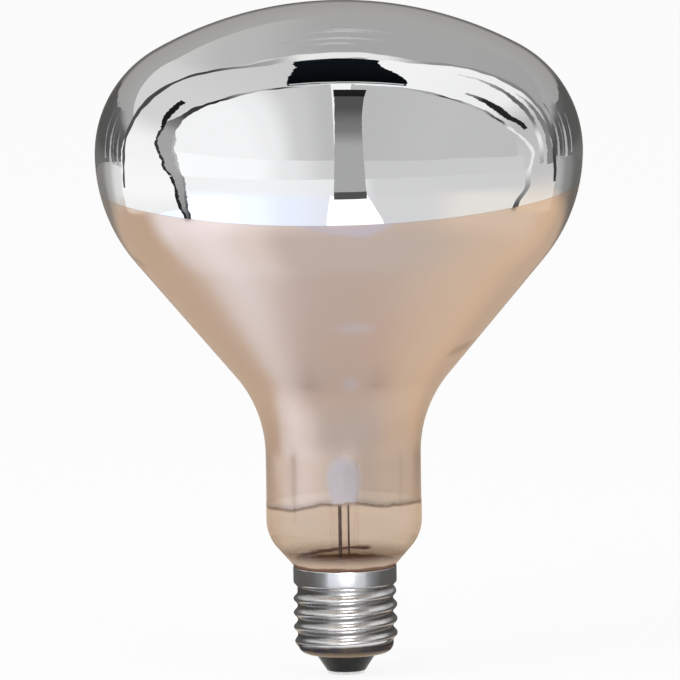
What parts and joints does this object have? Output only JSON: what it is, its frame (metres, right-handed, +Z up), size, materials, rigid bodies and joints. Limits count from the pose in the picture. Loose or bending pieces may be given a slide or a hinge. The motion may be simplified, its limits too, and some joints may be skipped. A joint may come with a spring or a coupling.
{
  "type": "infrared heat lamp bulb",
  "caption": "Infrared heat lamp bulb: blown reflector glass with a mirrored dome and champagne back, on an E27 screw cap with a black insulator and a tin centre contact.",
  "frame": {"origin": "middle of the cap's centre contact, on its lower face", "axes": "+Z up the lamp's axis from the cap to the dome, the camera's side is -Y"},
  "size_m": [0.1236, 0.1236, 0.1716],
  "materials": {
    "tan_glass": "gloss",
    "stem_glass": "gloss",
    "dome_silver": "mirror",
    "champagne_film": "satin",
    "cap_aluminium": "satin",
    "black_glass": "gloss",
    "tin": "satin",
    "lead_wire": "satin",
    "tungsten": "satin",
    "cement": "matt"
  },
  "bodies": {
    "root": {"glass_envelope": "tan_glass", "dome_mirror": "dome_silver", "rear_coating": "champagne_film", "glass_stem": "stem_glass", "exhaust_tube": "stem_glass", "mount_rod": "stem_glass", "centre_lead": "lead_wire", "side_lead": "lead_wire", "filament": "tungsten", "filament_supports": "tungsten", "basing_cement": "cement", "screw_shell": "cap_aluminium", "side_solder": "tin", "contact_solder": "tin", "centre_contact": "tin", "base_insulator": "black_glass"}
  },
  "joints": []
}
